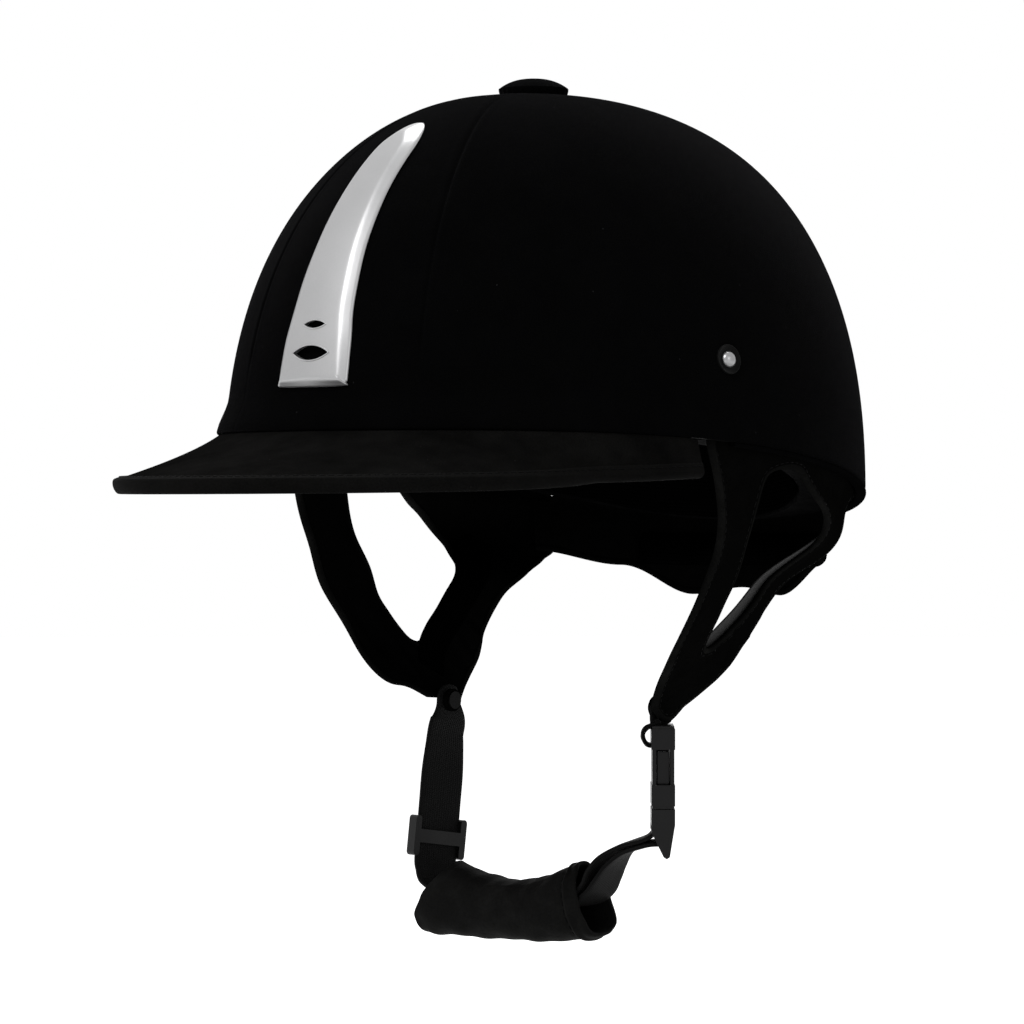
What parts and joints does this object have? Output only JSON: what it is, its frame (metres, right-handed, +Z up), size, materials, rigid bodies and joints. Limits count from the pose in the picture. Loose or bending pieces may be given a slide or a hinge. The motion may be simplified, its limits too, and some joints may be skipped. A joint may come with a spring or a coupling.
{
  "type": "riding helmet",
  "caption": "Velvet-covered riding helmet with a suede peak, a front trim plate, a leather harness, a strap slider, a side-release buckle and a chin guard.",
  "frame": {"origin": "on the head's axis at the height of the front rim, where the helmet seats on a head", "axes": "+Z up through the crown, -Y to the front where the peak is, +X to the wearer's left where the buckle is"},
  "size_m": [0.2304, 0.3381, 0.3352],
  "materials": {
    "velvet": "matte velvet",
    "suede": "matte suede",
    "leather": "soft satin",
    "webbing": "woven satin",
    "lining": "matte",
    "shell": "matte",
    "foam": "matte",
    "buckle": "semi-gloss",
    "silver": "satin",
    "steel": "satin"
  },
  "bodies": {
    "helmet": {"outer_shell": "shell", "cover_front": "velvet", "cover_left": "velvet", "cover_right": "velvet", "cover_rear": "velvet", "foam_liner": "foam", "headband": "lining", "crown_pad": "lining", "rim_binding": "leather", "peak_core": "shell", "peak_cover": "suede", "peak_lining": "suede", "peak_binding": "leather", "front_plate": "silver", "vent_screens": "buckle", "crown_button": "velvet", "button_nut": "steel", "side_studs": "steel", "stud_washers": "steel", "anchor_rivets": "steel", "harness_left": "leather", "harness_right": "leather", "pivot_patches": "leather", "strap_pivots": "steel", "nape_panel": "leather", "nape_pad": "lining"},
    "chin_strap": {"chin_web": "webbing", "left_web": "webbing"},
    "slider": {"slider": "buckle"},
    "chin_guard": {"chin_guard": "leather"},
    "buckle_socket": {"buckle_socket": "buckle", "socket_loop": "webbing"},
    "buckle_plug": {"buckle_plug": "buckle", "arm_pins": "steel"},
    "arm_front": {"arm_front": "buckle"},
    "arm_rear": {"arm_rear": "buckle"}
  },
  "joints": [
    {"name": "chin_strap_swing", "type": "hinge", "parent": "helmet", "child": "chin_strap", "pos_m": [0, 0.004, -0.105], "axis": [1, 0, 0], "range_deg": [-40, 40]},
    {"name": "socket_swing", "type": "hinge", "parent": "helmet", "child": "buckle_socket", "pos_m": [0.057, 0.004, -0.105], "axis": [1, 0, 0], "range_deg": [-40, 40]},
    {"name": "buckle_release", "type": "slide", "parent": "chin_strap", "child": "buckle_plug", "axis": [0, 0, -1], "range_m": [0, 0.028], "deforming": ["left_web"]},
    {"name": "arm_rear_press", "type": "hinge", "parent": "buckle_plug", "child": "arm_rear", "pos_m": [0.04967, 0.01059, -0.1475], "axis": [0.766, 0.6428, 0], "range_deg": [0, 6], "stiffness_Nm_per_rad": 0.05},
    {"name": "arm_front_press", "type": "hinge", "parent": "buckle_plug", "child": "arm_front", "pos_m": [0.06073, -0.00259, -0.1475], "axis": [0.766, 0.6428, 0], "range_deg": [-6, 0], "stiffness_Nm_per_rad": 0.05},
    {"name": "slider_travel", "type": "slide", "parent": "chin_strap", "child": "slider", "axis": [0, 0.124, 0.9923], "range_m": [0, 0.016]},
    {"name": "guard_shift", "type": "hinge", "parent": "chin_strap", "child": "chin_guard", "pos_m": [-0.006, -0.006, -0.034], "axis": [0, 1, 0], "range_deg": [-0.25, 1.1]}
  ],
  "couplings": [
    {"joint": "socket_swing", "follows": "chin_strap_swing", "ratio": 1},
    {"joint": "arm_front_press", "follows": "arm_rear_press", "ratio": -1}
  ]
}
